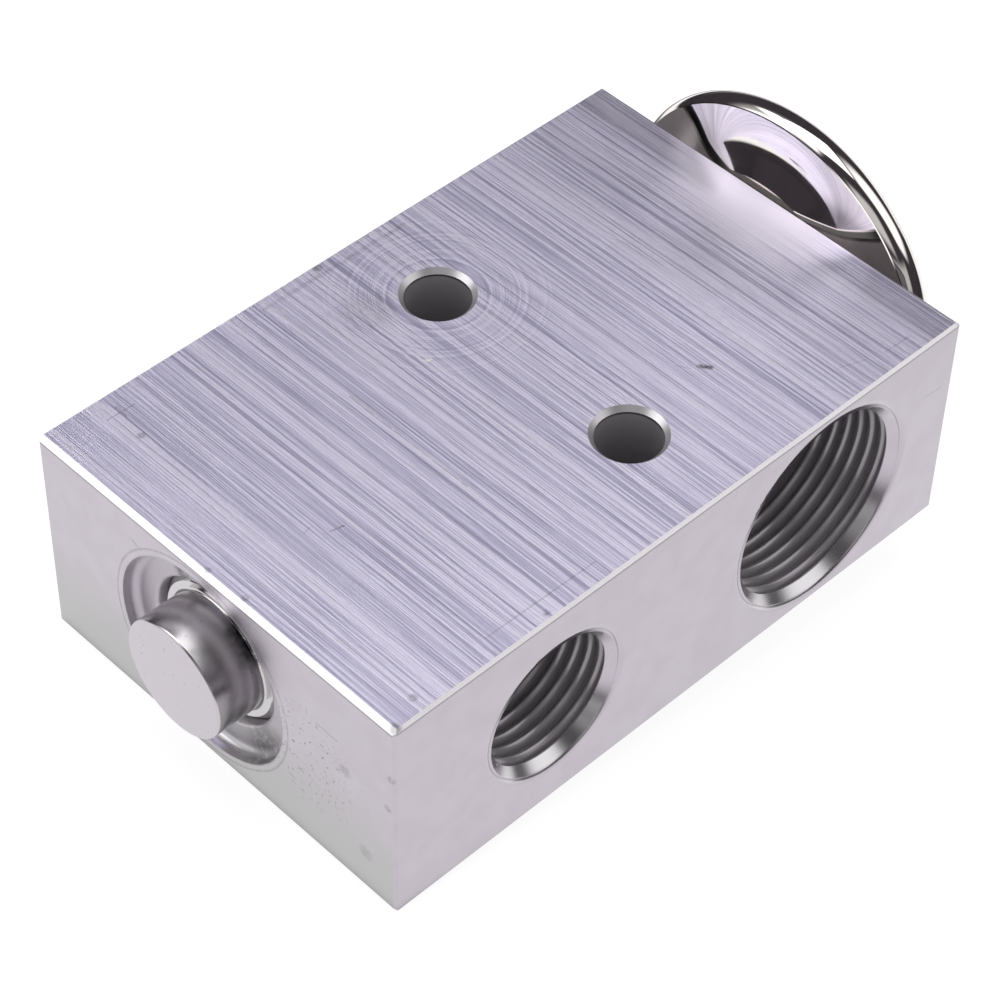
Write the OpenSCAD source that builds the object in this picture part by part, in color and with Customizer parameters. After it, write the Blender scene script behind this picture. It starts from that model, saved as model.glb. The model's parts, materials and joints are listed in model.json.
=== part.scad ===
// Block expansion valve of a refrigeration circuit.
// X runs along the valve axis, from the adjusting plug to the power head.
// Y runs from the face with the compressor-side ports to the evaporator side.
// Z is up, through the thickness of the block. The origin is the middle of the
// two mounting holes, on the bottom face.

/* [Block] */
// Length of the block along the valve axis
block_l = 73; // [72.5:0.5:78]
// Width between the two port faces
block_w = 47.6; // [47.2:0.2:52]
// Thickness of the block
block_t = 25.4; // [25.2:0.2:30]
// Chamfer round the two end faces
end_chamfer = 0.5; // [0.2:0.1:0.7]
// Chamfer of the long edges
side_chamfer = 0.3; // [0.1:0.1:0.5]
// Offset of the valve axis from mid width, towards the evaporator side
axis_y = 1.9; // [1:0.1:2.4]

/* [Mounting holes] */
// Distance from the plug end to the mounting holes
bolts_from_plug_end = 39.4; // [38.8:0.1:40]
// Spacing of the two holes, across the width
bolt_spacing = 25.4; // [24.4:0.2:26.4]
// Radius of each hole
bolt_hole_r = 3.3; // [2.7:0.1:3.4]
// Chamfer at each mouth of the holes
bolt_chamfer = 0.5; // [0.2:0.1:0.8]

/* [Ports] */
// Rounding of each port's mouth, where the O-ring sits
mouth_round = 0.9; // [0.5:0.1:1]
// Bevel at the bottom of each port
floor_bevel = 0.8; // [0.3:0.1:1.2]
// Thread radius of the liquid inlet port
inlet_r = 7.94; // [7.5:0.02:8.2]
// Depth of the liquid inlet port
inlet_depth = 13; // [11.5:0.5:14]
// Distance from the plug end to the liquid inlet port
inlet_from_plug_end = 19.6; // [19:0.1:20.2]
// Radius of the passage from the inlet port to the valve chamber
inlet_passage_r = 3.6; // [3:0.1:3.8]
// Thread radius of the liquid outlet port
outlet_r = 9.53; // [9.2:0.01:9.8]
// Depth of the liquid outlet port
outlet_depth = 12.5; // [11.5:0.5:13]
// Distance from the plug end to the liquid outlet port
outlet_from_plug_end = 24.5; // [24:0.1:25]
// Radius of the passage from the outlet chamber to the outlet port
outlet_passage_r = 3; // [2.5:0.1:3.1]
// Thread radius of the two suction ports
suction_r = 11.11; // [10.8:0.01:11.2]
// Depth of each suction port
suction_depth = 13; // [11.5:0.5:13.5]
// Distance from the plug end to the suction ports
suction_from_plug_end = 55; // [54.8:0.1:55.6]
// Radius of the suction passage between the two ports
suction_passage_r = 8.5; // [8:0.1:9]

/* [Plug end] */
// Radius of the recess round the adjusting plug
recess_r = 11; // [10.5:0.1:11.6]
// Depth of the recess
recess_depth = 1.5; // [1:0.1:1.8]
// Fillet at the bottom of the recess
recess_fillet = 0.9; // [0.3:0.1:0.9]
// Radius of the bore that the plug screws into
plug_bore_r = 7.85; // [7.5:0.05:8.2]
// Rounding of the plug bore's mouth
plug_mouth_round = 0.4; // [0.2:0.1:0.6]
// Depth of the plug bore, from the end face to the chamber step
plug_bore_depth = 12; // [11.5:0.1:12.4]
// Depth of the plug's shoulder below the end face
shoulder_depth = 2.1; // [1.9:0.1:2.5]
// Chamfer of the plug's shoulder
shoulder_chamfer = 0.6; // [0.3:0.1:0.8]
// Radius of the plug's stem
stem_r = 6.28; // [5.8:0.02:6.5]
// How far the stem stands out of the end face
stem_out = 3.35; // [2:0.05:5]
// Edge rounding of the stem's tip
stem_round = 0.25; // [0.1:0.05:0.5]
// Fillet between the stem and the shoulder
stem_fillet = 0.3; // [0.1:0.1:0.5]
// Distance from the plug's inner end to its O-ring groove
groove_from_end = 1.6; // [1.2:0.1:2]
// Width of the plug's O-ring groove
groove_w = 2.2; // [1.9:0.1:2.4]
// Depth of the plug's O-ring groove
groove_depth = 1.5; // [1.3:0.05:1.6]
// Radius of the spring pocket in the plug
pocket_r = 4.95; // [4.8:0.05:5]
// Depth of the spring pocket
pocket_depth = 4.5; // [4:0.1:5]

/* [Valve] */
// Radius of the valve chamber
chamber_r = 6.4; // [6.2:0.05:6.6]
// Distance from the inlet passage's wall to the valve seat
seat_land = 0.8; // [0.5:0.1:1]
// Radius of the orifice
orifice_r = 2.2; // [2:0.05:2.4]
// Length of the orifice
orifice_l = 3; // [2.6:0.1:3.2]
// Radius of the outlet chamber
outlet_chamber_r = 4.6; // [4:0.1:4.8]
// Radius of the ball
ball_r = 3.2; // [3:0.05:3.3]
// Radius of the push pin
pin_r = 1.25; // [1.1:0.05:1.4]
// Radius of the carrier's cup, which holds the ball
carrier_r = 4.5; // [4.3:0.1:4.6]
// How far the cup reaches past the line where it touches the ball
cup_rise = 0.6; // [0.4:0.1:1]
// Metal under the tip of the cup's cone, down to the flange
cup_floor = 1.1; // [0.8:0.1:1.4]
// Radius of the carrier's flange, which the spring pushes on
flange_r = 5.6; // [5.4:0.1:5.8]
// Thickness of the carrier's flange
flange_t = 1; // [0.8:0.1:1.2]
// Radius of the carrier's stem inside the spring
carrier_stem_r = 3.2; // [2.9:0.1:3.4]
// Length of the carrier's stem
carrier_stem_l = 3.6; // [3:0.1:4]
// Wire of the spring
wire_d = 1.1; // [0.9:0.05:1.2]
// Mean radius of the spring
spring_r = 4.2; // [4.1:0.02:4.24]
// Number of free turns of the spring
spring_turns = 3; // [2:1:4]
// Sheet of the damper clip
clip_t = 0.25; // [0.2:0.05:0.3]
// Width of the clip's legs
clip_leg_w = 2.4; // [2:0.1:2.8]
// Height of the legs above the carrier's flange
clip_leg_h = 4.1; // [3.8:0.1:4.4]
// Number of legs
clip_legs = 4; // [3:1:5]

/* [Rod] */
// Radius of the sensing rod
rod_r = 3.4; // [3.2:0.1:3.6]
// Depth of the recess for the rod's end, below the suction passage
rod_recess_depth = 3.1; // [2.8:0.1:3.3]
// Radial room round the rod in its recess and bore
rod_room = 0.9; // [0.7:0.05:1]
// Room below the rod's end when the valve is open
rod_end_room = 0.4; // [0.2:0.1:0.6]
// Depth of the socket that holds the pin
pin_socket_depth = 2.2; // [2:0.1:3]
// Radius of the seal pocket
seal_pocket_r = 3.2; // [3.1:0.05:3.4]
// Depth of the seal pocket
seal_pocket_depth = 2.9; // [2.8:0.05:3]
// Thickness of the seal's star washer
retainer_t = 0.4; // [0.3:0.05:0.45]
// Number of notches in the star washer
retainer_notches = 6; // [4:1:8]

/* [Power head] */
// Radius over the rolled rim
head_r = 19.65; // [19.4:0.05:20.5]
// Radius of the roll's section
rim_round = 1.9; // [1.8:0.05:2]
// Distance from the block's end face to the middle of the roll
rim_height = 3.8; // [3.7:0.05:4]
// Width of the roll outside its lip's edge, which lies on the lower shell
lip_w = 0.53; // [0.45:0.01:0.6]
// Distance from the block's end face to the lower shell's edge, under the lip
flange_height = 2.3; // [2.25:0.05:2.35]
// Width of the shell's flat flange under the diaphragm, out to the head's radius
flange_w = 2.05; // [1.9:0.05:2.2]
// Width of the lower shell's seat on the block, round the gasket's recess
seat_w = 2.3; // [2.2:0.05:2.4]
// Slope of the dish's cone, which rises from the seat
dish_slope = 27; // [26.5:0.5:27.5]
// Radius of the wide bend between that cone and the shell's edge
dish_bend = 12; // [11.5:0.5:12.5]
// How far the dish's floor reaches in under the seat's edge
floor_inset = 0.3; // [0.2:0.05:0.4]
// Sheet thickness of the lower shell
lower_t = 1.2; // [1.1:0.05:1.25]
// Sheet thickness of the upper shell
upper_t = 1; // [0.9:0.05:1.1]
// Thickness of the diaphragm
diaphragm_t = 0.15; // [0.1:0.05:0.2]
// Depth of the diaphragm's corrugations
corrugation = 0.3; // [0.2:0.05:0.35]
// Width of one corrugation
wave_w = 1.1; // [1:0.05:1.1]
// Number of corrugations
waves = 2; // [1:1:2]
// Height of the dome above the rim
dome_height = 3.6; // [3:0.1:5]
// Width of the valley and the roll, out to the head's radius
valley_w = 4.45; // [4.2:0.05:4.8]
// Depth of the valley below the top of the roll
valley_depth = 0.6; // [0.4:0.1:0.8]
// Width of the dome's slope, from its foot to its crown
dome_slope_w = 6.2; // [5.5:0.1:7]
// Radius of the ball that closes the charging hole
charge_ball_r = 1.6; // [1.5:0.05:2]
// Depth of the dimple that the ball is welded into
dimple_depth = 0.9; // [0.5:0.1:1.2]
// Radius of the charging hole
charge_hole_r = 1.2; // [1:0.05:1.4]
// Radius of the head's threaded bore in the block
head_bore_r = 9; // [8.8:0.05:9.2]
// Depth of that bore
head_bore_depth = 6; // [5.6:0.1:6.2]
// Room between the neck's end and the floor of that bore
neck_room = 0.4; // [0.3:0.1:0.8]
// Radius of the gasket's recess round the bore
gasket_recess_r = 11; // [10.9:0.05:11.2]
// Depth of the gasket's recess
gasket_depth = 1.8; // [1.7:0.05:1.9]
// Distance from the pressure pad's edge to the head's radius
pad_inset = 7.75; // [7.6:0.05:8.2]
// Radial room round the pad's disc and its boss
pad_room = 0.4; // [0.3:0.05:0.5]
// Thickness of the pad's disc
pad_t = 1.2; // [1.1:0.05:1.25]
// Radius of the pad's boss
boss_r = 5.9; // [5.6:0.1:6]
// Length of the pad's boss
boss_l = 5.6; // [5:0.1:6]
// Depth of the rod's socket in the boss
rod_socket_depth = 3; // [2.5:0.1:3.5]

/* [Fits] */
// Travel of the valve from closed to open
stroke = 0.8; // [0.6:0.05:0.85]
// Radial clearance of fits that slide
slide_clear = 0.05; // [0.03:0.01:0.08]
// Gap between faces that touch on the real valve
touch_gap = 0.02; // [0.01:0.01:0.03]
// Gap between the closed ball and its seat
ball_gap = 0.05; // [0.03:0.01:0.08]

/* [Hidden] */
$fn = 96;

// Places along X
plug_end = -bolts_from_plug_end;
head_end = plug_end + block_l;
inlet_x = plug_end + inlet_from_plug_end;
outlet_x = plug_end + outlet_from_plug_end;
suction_x = plug_end + suction_from_plug_end;
chamber_x = plug_end + plug_bore_depth;
seat_x = inlet_x + inlet_passage_r + seat_land;
outlet_chamber_x = seat_x + orifice_l;
outlet_passage_x = outlet_chamber_x + outlet_passage_r;
web_x = outlet_passage_x + outlet_passage_r;
rod_recess_x = suction_x - suction_passage_r - rod_recess_depth;
seal_x = rod_recess_x - seal_pocket_depth;
mid_z = block_t / 2;

// The ball rests on the orifice's edge
ball_x = seat_x - sqrt(ball_r * ball_r - orifice_r * orifice_r) - ball_gap;

// The carrier holds the ball in a cone, and its flange is the spring's seat
cup_angle = 50;
cup_tip_x = ball_x - ball_r / sin(cup_angle) - touch_gap;
cup_x = ball_x - ball_r * sin(cup_angle) + cup_rise;
flange_x = cup_tip_x - cup_floor - flange_t;
pocket_x = chamber_x - pocket_depth;
spring_l = flange_x - pocket_x - 2 * touch_gap;

// Radii of the head, inwards from its rim
rim_r = head_r - rim_round;
lip_r = head_r - lip_w;
flange_inner_r = head_r - flange_w;
dome_foot_r = head_r - valley_w;
dome_crown_r = dome_foot_r - dome_slope_w;
pad_r = head_r - pad_inset;
seat_r = gasket_recess_r + seat_w;

// The rod reaches from its recess to the pad's socket
rod_x = rod_recess_x + stroke + rod_end_room;
pin_x = ball_x + ball_r + touch_gap;
pin_end_x = rod_x + pin_socket_depth - touch_gap;
diaphragm_x = head_end + flange_height + lower_t;
pad_x = diaphragm_x - pad_t - touch_gap;
boss_x = pad_x - boss_l;
rod_end_x = boss_x + rod_socket_depth - touch_gap;

// Screwed pieces, by the clearance of their fit
plug_r = plug_bore_r - slide_clear;
neck_r = head_bore_r - slide_clear;

// Sections of the seals, squeezed into their grooves
plug_ring_r = (plug_bore_r - plug_r + groove_depth) / 2 - touch_gap / 2;
seal_ring_r = (seal_pocket_r - pin_r) / 2 - touch_gap / 2;
gasket_ring_r = min(gasket_depth, gasket_recess_r - neck_r) / 2 - touch_gap;

// Points on an arc, from one angle to the other
function arc(cx, cy, r, from, to, steps = 8) =
    [for (i = [0:steps]) let (a = from + (to - from) * i / steps) [cx + r * cos(a), cy + r * sin(a)]];

// Points on a smooth step between two places
function s_curve(from, to, steps = 12) =
    [for (i = [0:steps]) let (t = i / steps)
        [from[0] + (to[0] - from[0]) * t, from[1] + (to[1] - from[1]) * (1 - cos(180 * t)) / 2]];

// Points of a cone that rises from one place and bends towards another
function dish(seat, edge, slope, bend) =
    let (along = [cos(slope), sin(slope)], out = [sin(slope), -cos(slope)],
        away = seat + bend * out - edge,
        reach = max(0, pow(away * along, 2) - away * away + bend * bend),
        middle = seat - (away * along + sqrt(reach)) * along + bend * out)
    concat([seat], arc(middle[0], middle[1], bend, 90 + slope,
        atan2(edge[1] - middle[1], edge[0] - middle[0])));

// Stands its children on the valve axis, their Z along X
module on_axis(x) {
    translate([x, axis_y, mid_z])
        rotate([0, 90, 0]) children();
}

// Turns an outline of [radius, place along X] points round the valve axis
module turned(x, outline) {
    on_axis(x) rotate_extrude() polygon(outline);
}

// O-ring whose middle plane lies at x
module ring(x, mean_r, section_r) {
    on_axis(x) rotate_extrude() translate([mean_r, 0]) circle(r = section_r, $fn = 32);
}

// Outline that is cut away to round the edge between a face at height y and a bore
module rounding(r, y, round) {
    translate([r, y]) difference() {
        square([round, round]);
        translate([round, round]) circle(r = round);
    }
}

// Outline of the metal that stays in the corner between a bore and its floor
module fillet(r, y, round) {
    translate([r - round, y - round]) difference() {
        square([round + 1, round + 1]);
        circle(r = round);
        translate([0, round]) square([round + 1, 1]);
        translate([round, 0]) square([1, round + 1]);
    }
}

module chamfered_square(a, b, c) {
    polygon([[-a + c, -b], [a - c, -b], [a, -b + c], [a, b - c],
        [a - c, b], [-a + c, b], [-a, b - c], [-a, -b + c]]);
}

module block() {
    translate([plug_end + block_l / 2, 0, mid_z]) intersection() {
        rotate([90, 0, 0]) linear_extrude(block_w + 2, center = true)
            chamfered_square(block_l / 2, block_t / 2, end_chamfer);
        rotate([90, 0, 90]) linear_extrude(block_l + 2, center = true)
            chamfered_square(block_w / 2, block_t / 2, side_chamfer);
        linear_extrude(block_t + 2, center = true)
            chamfered_square(block_l / 2, block_w / 2, side_chamfer);
    }
}

// A port cut into the face that side (-1 or 1) names
module port(x, side, r, depth) {
    translate([x, side * block_w / 2, mid_z]) rotate([90 * side, 0, 0]) rotate_extrude() {
        polygon([[0, -1], [r, -1], [r, depth - floor_bevel], [r - floor_bevel, depth], [0, depth]]);
        rounding(r, 0, mouth_round);
    }
}

// A passage from the valve axis towards the port on one side
module passage(x, side, r, port_depth) {
    reach = block_w / 2 - side * axis_y - port_depth + 0.5;
    translate([x, axis_y, mid_z]) rotate([-90 * side, 0, 0]) cylinder(h = reach, r = r);
}

module bolt_hole(y) {
    translate([0, y, 0]) rotate_extrude() polygon([[0, -1], [bolt_hole_r + bolt_chamfer + 1, -1],
        [bolt_hole_r, bolt_chamfer], [bolt_hole_r, block_t - bolt_chamfer],
        [bolt_hole_r + bolt_chamfer + 1, block_t + 1], [0, block_t + 1]]);
}

// Everything that is bored along the valve axis
module axis_bores() {
    on_axis(plug_end) rotate_extrude() {
        difference() {
            translate([0, -1]) square([recess_r, recess_depth + 1]);
            fillet(recess_r, recess_depth, recess_fillet);
        }
        rounding(plug_bore_r, recess_depth, plug_mouth_round);
        polygon([[0, recess_depth / 2], [plug_bore_r, recess_depth / 2],
            [plug_bore_r, plug_bore_depth], [chamber_r, plug_bore_depth],
            [chamber_r, seat_x - plug_end], [orifice_r, seat_x - plug_end],
            [orifice_r, outlet_chamber_x - plug_end], [outlet_chamber_r, outlet_chamber_x - plug_end],
            [outlet_chamber_r, web_x - plug_end], [pin_r + slide_clear, web_x - plug_end],
            [pin_r + slide_clear, seal_x - plug_end], [seal_pocket_r, seal_x - plug_end],
            [seal_pocket_r, rod_recess_x - plug_end], [rod_r + rod_room, rod_recess_x - plug_end],
            [rod_r + rod_room, block_l - head_bore_depth], [head_bore_r, block_l - head_bore_depth],
            [head_bore_r, block_l - gasket_depth], [gasket_recess_r, block_l - gasket_depth],
            [gasket_recess_r, block_l + 1], [0, block_l + 1]]);
    }
}

module valve_body() {
    color([0.78, 0.76, 0.8]) difference() {
        block();
        axis_bores();
        port(inlet_x, -1, inlet_r, inlet_depth);
        port(suction_x, -1, suction_r, suction_depth);
        port(outlet_x, 1, outlet_r, outlet_depth);
        port(suction_x, 1, suction_r, suction_depth);
        passage(inlet_x, -1, inlet_passage_r, inlet_depth);
        passage(outlet_passage_x, 1, outlet_passage_r, outlet_depth);
        passage(suction_x, -1, suction_passage_r, suction_depth);
        passage(suction_x, 1, suction_passage_r, suction_depth);
        bolt_hole(-bolt_spacing / 2);
        bolt_hole(bolt_spacing / 2);
    }
}

module adjusting_plug() {
    r = plug_r;
    end = plug_bore_depth;
    groove_x = end - groove_from_end - groove_w;
    color([0.74, 0.72, 0.74]) turned(plug_end, concat([[0, -stem_out]],
        arc(stem_r - stem_round, stem_round - stem_out, stem_round, -90, 0, 4),
        arc(stem_r + stem_fillet, shoulder_depth - stem_fillet, stem_fillet, 180, 90, 4),
        [[r - shoulder_chamfer, shoulder_depth], [r, shoulder_depth + shoulder_chamfer],
        [r, groove_x], [r - groove_depth, groove_x], [r - groove_depth, groove_x + groove_w],
        [r, groove_x + groove_w], [r, end - touch_gap], [pocket_r, end - touch_gap],
        [pocket_r, end - pocket_depth], [0, end - pocket_depth]]));
}

module plug_o_ring() {
    color([0.12, 0.12, 0.12]) ring(chamber_x - groove_from_end - groove_w / 2,
        (plug_r - groove_depth + plug_bore_r) / 2, plug_ring_r);
}

// Centre line of the spring: a closed turn at each end, free turns between
function spring_z(turn) =
    let (closed = wire_d + touch_gap, free = (spring_l - 0.5 * wire_d - 2 * closed) / spring_turns)
    0.25 * wire_d + closed * min(turn, 1) + free * max(0, min(turn - 1, spring_turns))
    + closed * max(0, turn - 1 - spring_turns);

module valve_spring() {
    sides = 8;
    per_turn = 20;
    rings = (spring_turns + 2) * per_turn;
    points = [for (i = [0:rings]) let (turn = i / per_turn, a = 360 * turn)
        for (j = [0:sides - 1]) let (b = 360 * j / sides, r = spring_r + wire_d / 2 * cos(b))
            [r * cos(a), r * sin(a), spring_z(turn) + wire_d / 2 * sin(b)]];
    walls = [for (i = [0:rings - 1]) for (j = [0:sides - 1]) let (k = (j + 1) % sides)
        [i * sides + j, i * sides + k, (i + 1) * sides + k, (i + 1) * sides + j]];
    ends = [[for (j = [sides - 1:-1:0]) j], [for (j = [0:sides - 1]) rings * sides + j]];
    color([0.6, 0.6, 0.62]) on_axis(pocket_x + touch_gap) intersection() {
        polyhedron(points, concat(walls, ends));
        cylinder(h = spring_l, r = spring_r + wire_d);
    }
}

module ball_carrier() {
    cup_mouth_r = (cup_x - cup_tip_x) * tan(cup_angle);
    color([0.72, 0.66, 0.5]) turned(flange_x, [[0, -carrier_stem_l],
        [carrier_stem_r - 0.4, -carrier_stem_l], [carrier_stem_r, 0.4 - carrier_stem_l],
        [carrier_stem_r, 0], [flange_r, 0], [flange_r, flange_t], [carrier_r, flange_t],
        [carrier_r, cup_x - flange_x], [cup_mouth_r, cup_x - flange_x], [0, cup_tip_x - flange_x]]);
}

module damper_clip() {
    foot_x = flange_x + flange_t + touch_gap;
    foot_r = carrier_r + slide_clear;
    bow_r = chamber_r - slide_clear;
    // Middle line of a leg's bow, as [radius, height above the clip's foot]
    bow = [[flange_r - clip_t, 0], [flange_r, clip_leg_h * 0.22], [bow_r - clip_t, clip_leg_h * 0.5],
        [bow_r - clip_t, clip_leg_h * 0.7], [flange_r, clip_leg_h]];
    color([0.66, 0.66, 0.68]) on_axis(foot_x) union() {
        difference() {
            cylinder(h = clip_t, r = flange_r);
            translate([0, 0, -1]) cylinder(h = clip_t + 2, r = foot_r);
        }
        for (i = [0:clip_legs - 1]) rotate([0, 0, 360 * i / clip_legs + 45])
            rotate([90, 0, 0]) linear_extrude(clip_leg_w, center = true)
                polygon(concat(bow, [for (k = [len(bow) - 1:-1:0]) bow[k] + [clip_t * 0.75, 0]]));
    }
}

module valve_ball() {
    color([0.85, 0.85, 0.87]) translate([ball_x, axis_y, mid_z]) sphere(r = ball_r);
}

module push_pin() {
    tip = 0.2;
    length = pin_end_x - pin_x;
    color([0.7, 0.7, 0.72]) turned(pin_x, [[0, 0], [pin_r - tip, 0], [pin_r, tip],
        [pin_r, length - tip], [pin_r - tip, length], [0, length]]);
}

module rod_seal() {
    color([0.12, 0.12, 0.12])
        ring(seal_x + seal_ring_r + touch_gap, (pin_r + seal_pocket_r) / 2, seal_ring_r);
}

module seal_retainer() {
    hole_r = pin_r + 0.4;
    notch = 0.6;
    color([0.75, 0.75, 0.77]) on_axis(seal_x + 2 * seal_ring_r + 2 * touch_gap) difference() {
        cylinder(h = retainer_t, r = seal_pocket_r - touch_gap);
        translate([0, 0, -1]) cylinder(h = retainer_t + 2, r = hole_r);
        for (i = [0:retainer_notches - 1]) rotate([0, 0, 360 * i / retainer_notches])
            translate([0, -notch / 2, -1]) cube([hole_r + notch, notch, retainer_t + 2]);
    }
}

module sensing_rod() {
    edge = 0.4;
    length = rod_end_x - rod_x;
    socket_r = pin_r + touch_gap;
    color([0.8, 0.8, 0.82]) turned(rod_x, [[socket_r, 0], [rod_r - edge, 0], [rod_r, edge],
        [rod_r, length - edge], [rod_r - edge, length], [0, length], [0, pin_socket_depth],
        [socket_r, pin_socket_depth]]);
}

module pressure_pad() {
    edge = 0.3;
    socket_r = rod_r + touch_gap;
    color([0.76, 0.7, 0.5]) turned(boss_x, [[socket_r, 0], [boss_r - edge, 0], [boss_r, edge],
        [boss_r, boss_l - edge], [boss_r + edge, boss_l], [pad_r - edge, boss_l],
        [pad_r, boss_l + edge], [pad_r, boss_l + pad_t - edge], [pad_r - edge, boss_l + pad_t],
        [0, boss_l + pad_t], [0, rod_socket_depth], [socket_r, rod_socket_depth]]);
}

module diaphragm() {
    inner = pad_r + touch_gap;
    outer = inner + waves * wave_w;
    edge_r = lip_r - touch_gap;
    top = [for (i = [0:24]) let (t = i / 24)
        [inner + (outer - inner) * t, corrugation * (1 - cos(360 * waves * t)) / 2]];
    color([0.8, 0.8, 0.78]) turned(diaphragm_x + touch_gap, concat([[0, 0]], top, [[edge_r, 0],
        [edge_r, diaphragm_t]], [for (k = [len(top) - 1:-1:0]) top[k] + [0, diaphragm_t]],
        [[0, diaphragm_t]]));
}

// Dished lower half of the head, with the neck that screws into the block
module lower_shell() {
    inner_r = boss_r + 2 * pad_room;
    top_h = flange_height + lower_t;
    bevel = 0.5;
    floor_h = top_h - pad_t - touch_gap - stroke - slide_clear;
    neck_l = head_bore_depth - neck_room;
    color([0.86, 0.85, 0.87]) turned(head_end, concat(
        [[inner_r, -neck_l], [neck_r - bevel, -neck_l], [neck_r, bevel - neck_l],
        [neck_r, touch_gap]],
        dish([seat_r, touch_gap], [lip_r - touch_gap, flange_height], dish_slope, dish_bend),
        [[lip_r - touch_gap, top_h]],
        s_curve([flange_inner_r, top_h], [seat_r - floor_inset, floor_h]),
        [[inner_r, floor_h]]));
}

// Domed upper half, whose rim is rolled over the edge of the lower shell
module upper_shell() {
    lip_angle = acos((lip_r - rim_r) / rim_round);
    top = rim_height + rim_round;
    bottom = flange_height + lower_t + diaphragm_t + 2 * touch_gap;
    crown = top + dome_height;
    dimple_r = charge_hole_r + dimple_depth + 0.3;
    color([0.88, 0.87, 0.88]) turned(head_end, concat(
        [[charge_hole_r, crown - dimple_depth], [dimple_r, crown]],
        s_curve([dome_crown_r, crown], [dome_foot_r, top - valley_depth]),
        arc(rim_r, rim_height, rim_round, 90, -lip_angle, 20),
        [[lip_r, bottom], [dome_foot_r - upper_t, bottom]],
        s_curve([dome_foot_r - upper_t, bottom + corrugation + diaphragm_t],
            [dome_crown_r - upper_t, crown - upper_t]),
        [[dimple_r, crown - upper_t], [charge_hole_r, crown - dimple_depth - upper_t]]));
}

module charge_plug() {
    top = head_end + rim_height + rim_round + dome_height - dimple_depth;
    sink = sqrt(charge_ball_r * charge_ball_r - charge_hole_r * charge_hole_r);
    color([0.8, 0.8, 0.8]) translate([top + sink + touch_gap, axis_y, mid_z])
        sphere(r = charge_ball_r);
}

module head_gasket() {
    color([0.1, 0.1, 0.1]) ring(head_end - gasket_depth / 2,
        neck_r + touch_gap + gasket_ring_r, gasket_ring_r);
}

valve_body();
adjusting_plug();
plug_o_ring();
valve_spring();
ball_carrier();
damper_clip();
valve_ball();
push_pin();
rod_seal();
seal_retainer();
sensing_rod();
pressure_pad();
diaphragm();
lower_shell();
upper_shell();
charge_plug();
head_gasket();
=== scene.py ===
import json
import math

import bmesh
import bpy
from mathutils import Euler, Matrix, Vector


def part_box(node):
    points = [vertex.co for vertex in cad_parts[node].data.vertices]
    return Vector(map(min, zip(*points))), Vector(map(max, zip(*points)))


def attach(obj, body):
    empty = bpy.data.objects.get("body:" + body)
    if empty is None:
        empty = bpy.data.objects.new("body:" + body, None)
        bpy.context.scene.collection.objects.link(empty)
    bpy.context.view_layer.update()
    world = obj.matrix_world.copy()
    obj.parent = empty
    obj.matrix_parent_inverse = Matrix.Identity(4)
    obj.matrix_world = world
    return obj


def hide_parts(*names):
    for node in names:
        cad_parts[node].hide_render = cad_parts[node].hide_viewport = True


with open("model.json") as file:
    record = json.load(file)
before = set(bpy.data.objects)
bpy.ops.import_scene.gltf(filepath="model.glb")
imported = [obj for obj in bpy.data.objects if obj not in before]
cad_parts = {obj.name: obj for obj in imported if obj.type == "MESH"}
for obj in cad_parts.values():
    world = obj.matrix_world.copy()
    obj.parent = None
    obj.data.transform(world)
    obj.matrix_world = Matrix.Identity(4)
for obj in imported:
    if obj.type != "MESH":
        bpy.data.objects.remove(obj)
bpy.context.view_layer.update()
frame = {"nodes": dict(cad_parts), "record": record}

# Lengths are in millimetres, and metres(...) turns them into Blender's units.
MM = 0.001
BLOCK_LOW, BLOCK_HIGH = (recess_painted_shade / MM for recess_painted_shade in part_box("valve_body"))
AXIS = sum(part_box("upper_shell"), Vector()) / 2 / MM
HEAD_R = (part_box("upper_shell")[1].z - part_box("upper_shell")[0].z) / MM / 2
PLUG_TIP_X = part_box("adjusting_plug")[0].x / MM
BLOCK_T = BLOCK_HIGH.z - BLOCK_LOW.z
BOLT_Y = 12.7
TURN_STEPS = 192


def metres(x, y, z):
    return Vector((x, y, z)) * MM


# Outlines

def arc(cx, cy, r, start, end, steps=24):
    """Points on an arc, from one angle to the other, in degrees."""
    angles = [math.radians(start + (end - start) * i / steps) for i in range(steps + 1)]
    return [(cx + r * math.cos(a), cy + r * math.sin(a)) for a in angles]


def dish(seat, edge, slope, bend):
    """Points of a cone that rises from one place and bends towards another."""
    along = Vector((math.cos(math.radians(slope)), math.sin(math.radians(slope))))
    out = Vector((along.y, -along.x))
    away = Vector(seat) + bend * out - Vector(edge)
    run = away.dot(along) + math.sqrt(away.dot(along) ** 2 - away.length_squared + bend ** 2)
    middle = Vector(seat) - run * along + bend * out
    last = math.degrees(math.atan2(edge[1] - middle.y, edge[0] - middle.x))
    return [seat] + arc(middle.x, middle.y, bend, 90 + slope, last, 40)


def s_curve(start, end, steps=40):
    """Points on a smooth step between two places."""
    points = []
    for i in range(steps + 1):
        t = i / steps
        height = (1 - math.cos(math.pi * t)) / 2
        points.append((start[0] + (end[0] - start[0]) * t, start[1] + (end[1] - start[1]) * height))
    return points


# Pieces

def finish_mesh(name, bm, material, sharp=30):
    """Makes an object of a bmesh, smooth but for edges sharper than the given angle."""
    bmesh.ops.recalc_face_normals(bm, faces=bm.faces)
    mesh = bpy.data.meshes.new(name)
    bm.to_mesh(mesh)
    bm.free()
    mesh.shade_smooth()
    mesh.set_sharp_from_angle(angle=math.radians(sharp))
    mesh.materials.append(material)
    piece = bpy.data.objects.new(name, mesh)
    bpy.context.scene.collection.objects.link(piece)
    return piece


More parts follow.
